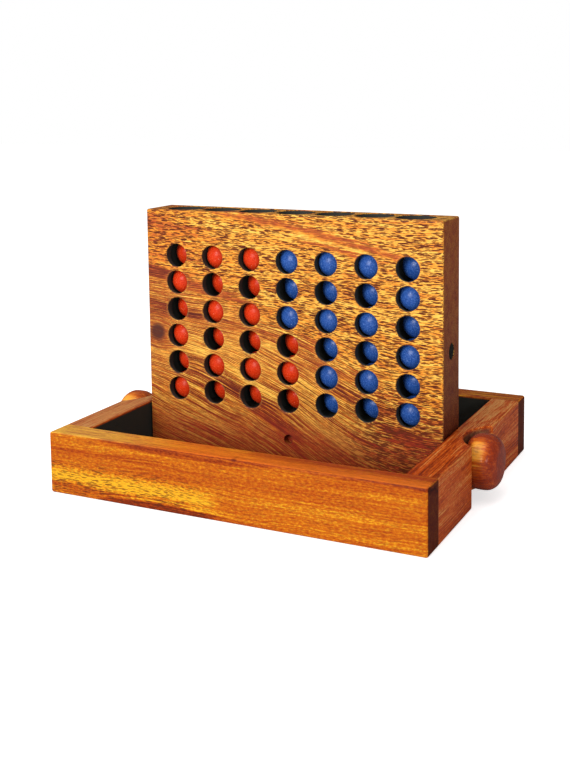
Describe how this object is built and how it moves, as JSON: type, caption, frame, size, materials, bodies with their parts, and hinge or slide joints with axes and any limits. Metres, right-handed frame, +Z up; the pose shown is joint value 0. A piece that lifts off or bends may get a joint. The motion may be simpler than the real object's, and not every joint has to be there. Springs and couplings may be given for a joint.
{
  "type": "four in a row game frame",
  "caption": "Wooden tabletop game: an upright frame drilled with ball wells and view holes stands in an open tray, locked by turned pegs, with coloured balls loose in the wells.",
  "frame": {"origin": "centre of the tray's underside", "axes": "+X along the tray and the row of columns, to the right; +Y from front to back; +Z up"},
  "size_m": [0.2152, 0.1564, 0.1342],
  "materials": {
    "tray_wood": "oiled and varnished orange-brown hardwood, satin",
    "frame_wood": "varnished golden hardwood with dark pores and streaks, satin",
    "peg_wood": "turned red-brown hardwood, gloss varnish",
    "floor_wood": "thin brown board, matt",
    "red_paint": "wooden ball painted red-orange, satin",
    "blue_paint": "wooden ball painted blue, satin"
  },
  "bodies": {
    "tray": {"front_board": "tray_wood", "back_board": "tray_wood", "left_board": "tray_wood", "right_board": "tray_wood", "floor_panel": "floor_wood", "frame_block": "frame_wood"},
    "left_peg": {"left_peg": "peg_wood"},
    "right_peg": {"right_peg": "peg_wood"},
    "ball_c1_r1": {"red_ball_c1_r1": "red_paint"},
    "ball_c1_r2": {"red_ball_c1_r2": "red_paint"},
    "ball_c1_r3": {"red_ball_c1_r3": "red_paint"},
    "ball_c1_r4": {"red_ball_c1_r4": "red_paint"},
    "ball_c1_r5": {"red_ball_c1_r5": "red_paint"},
    "ball_c1_r6": {"red_ball_c1_r6": "red_paint"},
    "ball_c2_r1": {"red_ball_c2_r1": "red_paint"},
    "ball_c2_r2": {"red_ball_c2_r2": "red_paint"},
    "ball_c2_r3": {"red_ball_c2_r3": "red_paint"},
    "ball_c2_r4": {"red_ball_c2_r4": "red_paint"},
    "ball_c2_r5": {"red_ball_c2_r5": "red_paint"},
    "ball_c2_r6": {"red_ball_c2_r6": "red_paint"},
    "ball_c3_r1": {"red_ball_c3_r1": "red_paint"},
    "ball_c3_r2": {"red_ball_c3_r2": "red_paint"},
    "ball_c3_r3": {"red_ball_c3_r3": "red_paint"},
    "ball_c3_r4": {"red_ball_c3_r4": "red_paint"},
    "ball_c3_r5": {"red_ball_c3_r5": "red_paint"},
    "ball_c3_r6": {"red_ball_c3_r6": "red_paint"},
    "ball_c4_r1": {"red_ball_c4_r1": "red_paint"},
    "ball_c4_r2": {"red_ball_c4_r2": "red_paint"},
    "ball_c4_r3": {"red_ball_c4_r3": "red_paint"},
    "ball_c4_r4": {"blue_ball_c4_r4": "blue_paint"},
    "ball_c4_r5": {"blue_ball_c4_r5": "blue_paint"},
    "ball_c4_r6": {"blue_ball_c4_r6": "blue_paint"},
    "ball_c5_r1": {"blue_ball_c5_r1": "blue_paint"},
    "ball_c5_r2": {"blue_ball_c5_r2": "blue_paint"},
    "ball_c5_r3": {"blue_ball_c5_r3": "blue_paint"},
    "ball_c5_r4": {"blue_ball_c5_r4": "blue_paint"},
    "ball_c5_r5": {"blue_ball_c5_r5": "blue_paint"},
    "ball_c5_r6": {"blue_ball_c5_r6": "blue_paint"},
    "ball_c6_r1": {"blue_ball_c6_r1": "blue_paint"},
    "ball_c6_r2": {"blue_ball_c6_r2": "blue_paint"},
    "ball_c6_r3": {"blue_ball_c6_r3": "blue_paint"},
    "ball_c6_r4": {"blue_ball_c6_r4": "blue_paint"},
    "ball_c6_r5": {"blue_ball_c6_r5": "blue_paint"},
    "ball_c6_r6": {"blue_ball_c6_r6": "blue_paint"},
    "ball_c7_r1": {"blue_ball_c7_r1": "blue_paint"},
    "ball_c7_r2": {"blue_ball_c7_r2": "blue_paint"},
    "ball_c7_r3": {"blue_ball_c7_r3": "blue_paint"},
    "ball_c7_r4": {"blue_ball_c7_r4": "blue_paint"},
    "ball_c7_r5": {"blue_ball_c7_r5": "blue_paint"},
    "ball_c7_r6": {"blue_ball_c7_r6": "blue_paint"}
  },
  "joints": [
    {"name": "left_peg_pull", "type": "slide", "parent": "tray", "child": "left_peg", "axis": [-1, 0, 0], "range_m": [0, 0.024]},
    {"name": "right_peg_pull", "type": "slide", "parent": "tray", "child": "right_peg", "axis": [1, 0, 0], "range_m": [0, 0.024]},
    {"name": "ball_c1_r1_lift", "type": "slide", "parent": "tray", "child": "ball_c1_r1", "axis": [0, 0, 1], "range_m": [0, 0.1035]},
    {"name": "ball_c1_r2_lift", "type": "slide", "parent": "ball_c1_r1", "child": "ball_c1_r2", "axis": [0, 0, 1], "range_m": [0, 0.089]},
    {"name": "ball_c1_r3_lift", "type": "slide", "parent": "ball_c1_r2", "child": "ball_c1_r3", "axis": [0, 0, 1], "range_m": [0, 0.075]},
    {"name": "ball_c1_r4_lift", "type": "slide", "parent": "ball_c1_r3", "child": "ball_c1_r4", "axis": [0, 0, 1], "range_m": [0, 0.061]},
    {"name": "ball_c1_r5_lift", "type": "slide", "parent": "ball_c1_r4", "child": "ball_c1_r5", "axis": [0, 0, 1], "range_m": [0, 0.0465]},
    {"name": "ball_c1_r6_lift", "type": "slide", "parent": "ball_c1_r5", "child": "ball_c1_r6", "axis": [0, 0, 1], "range_m": [0, 0.0325]},
    {"name": "ball_c2_r1_lift", "type": "slide", "parent": "tray", "child": "ball_c2_r1", "axis": [0, 0, 1], "range_m": [0, 0.1035]},
    {"name": "ball_c2_r2_lift", "type": "slide", "parent": "ball_c2_r1", "child": "ball_c2_r2", "axis": [0, 0, 1], "range_m": [0, 0.089]},
    {"name": "ball_c2_r3_lift", "type": "slide", "parent": "ball_c2_r2", "child": "ball_c2_r3", "axis": [0, 0, 1], "range_m": [0, 0.075]},
    {"name": "ball_c2_r4_lift", "type": "slide", "parent": "ball_c2_r3", "child": "ball_c2_r4", "axis": [0, 0, 1], "range_m": [0, 0.061]},
    {"name": "ball_c2_r5_lift", "type": "slide", "parent": "ball_c2_r4", "child": "ball_c2_r5", "axis": [0, 0, 1], "range_m": [0, 0.0465]},
    {"name": "ball_c2_r6_lift", "type": "slide", "parent": "ball_c2_r5", "child": "ball_c2_r6", "axis": [0, 0, 1], "range_m": [0, 0.0325]},
    {"name": "ball_c3_r1_lift", "type": "slide", "parent": "tray", "child": "ball_c3_r1", "axis": [0, 0, 1], "range_m": [0, 0.1035]},
    {"name": "ball_c3_r2_lift", "type": "slide", "parent": "ball_c3_r1", "child": "ball_c3_r2", "axis": [0, 0, 1], "range_m": [0, 0.089]},
    {"name": "ball_c3_r3_lift", "type": "slide", "parent": "ball_c3_r2", "child": "ball_c3_r3", "axis": [0, 0, 1], "range_m": [0, 0.075]},
    {"name": "ball_c3_r4_lift", "type": "slide", "parent": "ball_c3_r3", "child": "ball_c3_r4", "axis": [0, 0, 1], "range_m": [0, 0.061]},
    {"name": "ball_c3_r5_lift", "type": "slide", "parent": "ball_c3_r4", "child": "ball_c3_r5", "axis": [0, 0, 1], "range_m": [0, 0.0465]},
    {"name": "ball_c3_r6_lift", "type": "slide", "parent": "ball_c3_r5", "child": "ball_c3_r6", "axis": [0, 0, 1], "range_m": [0, 0.0325]},
    {"name": "ball_c4_r1_lift", "type": "slide", "parent": "tray", "child": "ball_c4_r1", "axis": [0, 0, 1], "range_m": [0, 0.1035]},
    {"name": "ball_c4_r2_lift", "type": "slide", "parent": "ball_c4_r1", "child": "ball_c4_r2", "axis": [0, 0, 1], "range_m": [0, 0.089]},
    {"name": "ball_c4_r3_lift", "type": "slide", "parent": "ball_c4_r2", "child": "ball_c4_r3", "axis": [0, 0, 1], "range_m": [0, 0.075]},
    {"name": "ball_c4_r4_lift", "type": "slide", "parent": "ball_c4_r3", "child": "ball_c4_r4", "axis": [0, 0, 1], "range_m": [0, 0.061]},
    {"name": "ball_c4_r5_lift", "type": "slide", "parent": "ball_c4_r4", "child": "ball_c4_r5", "axis": [0, 0, 1], "range_m": [0, 0.0465]},
    {"name": "ball_c4_r6_lift", "type": "slide", "parent": "ball_c4_r5", "child": "ball_c4_r6", "axis": [0, 0, 1], "range_m": [0, 0.0325]},
    {"name": "ball_c5_r1_lift", "type": "slide", "parent": "tray", "child": "ball_c5_r1", "axis": [0, 0, 1], "range_m": [0, 0.1035]},
    {"name": "ball_c5_r2_lift", "type": "slide", "parent": "ball_c5_r1", "child": "ball_c5_r2", "axis": [0, 0, 1], "range_m": [0, 0.089]},
    {"name": "ball_c5_r3_lift", "type": "slide", "parent": "ball_c5_r2", "child": "ball_c5_r3", "axis": [0, 0, 1], "range_m": [0, 0.075]},
    {"name": "ball_c5_r4_lift", "type": "slide", "parent": "ball_c5_r3", "child": "ball_c5_r4", "axis": [0, 0, 1], "range_m": [0, 0.061]},
    {"name": "ball_c5_r5_lift", "type": "slide", "parent": "ball_c5_r4", "child": "ball_c5_r5", "axis": [0, 0, 1], "range_m": [0, 0.0465]},
    {"name": "ball_c5_r6_lift", "type": "slide", "parent": "ball_c5_r5", "child": "ball_c5_r6", "axis": [0, 0, 1], "range_m": [0, 0.0325]},
    {"name": "ball_c6_r1_lift", "type": "slide", "parent": "tray", "child": "ball_c6_r1", "axis": [0, 0, 1], "range_m": [0, 0.1035]},
    {"name": "ball_c6_r2_lift", "type": "slide", "parent": "ball_c6_r1", "child": "ball_c6_r2", "axis": [0, 0, 1], "range_m": [0, 0.089]},
    {"name": "ball_c6_r3_lift", "type": "slide", "parent": "ball_c6_r2", "child": "ball_c6_r3", "axis": [0, 0, 1], "range_m": [0, 0.075]},
    {"name": "ball_c6_r4_lift", "type": "slide", "parent": "ball_c6_r3", "child": "ball_c6_r4", "axis": [0, 0, 1], "range_m": [0, 0.061]},
    {"name": "ball_c6_r5_lift", "type": "slide", "parent": "ball_c6_r4", "child": "ball_c6_r5", "axis": [0, 0, 1], "range_m": [0, 0.0465]},
    {"name": "ball_c6_r6_lift", "type": "slide", "parent": "ball_c6_r5", "child": "ball_c6_r6", "axis": [0, 0, 1], "range_m": [0, 0.0325]},
    {"name": "ball_c7_r1_lift", "type": "slide", "parent": "tray", "child": "ball_c7_r1", "axis": [0, 0, 1], "range_m": [0, 0.1035]},
    {"name": "ball_c7_r2_lift", "type": "slide", "parent": "ball_c7_r1", "child": "ball_c7_r2", "axis": [0, 0, 1], "range_m": [0, 0.089]},
    {"name": "ball_c7_r3_lift", "type": "slide", "parent": "ball_c7_r2", "child": "ball_c7_r3", "axis": [0, 0, 1], "range_m": [0, 0.075]},
    {"name": "ball_c7_r4_lift", "type": "slide", "parent": "ball_c7_r3", "child": "ball_c7_r4", "axis": [0, 0, 1], "range_m": [0, 0.061]},
    {"name": "ball_c7_r5_lift", "type": "slide", "parent": "ball_c7_r4", "child": "ball_c7_r5", "axis": [0, 0, 1], "range_m": [0, 0.0465]},
    {"name": "ball_c7_r6_lift", "type": "slide", "parent": "ball_c7_r5", "child": "ball_c7_r6", "axis": [0, 0, 1], "range_m": [0, 0.0325]}
  ]
}
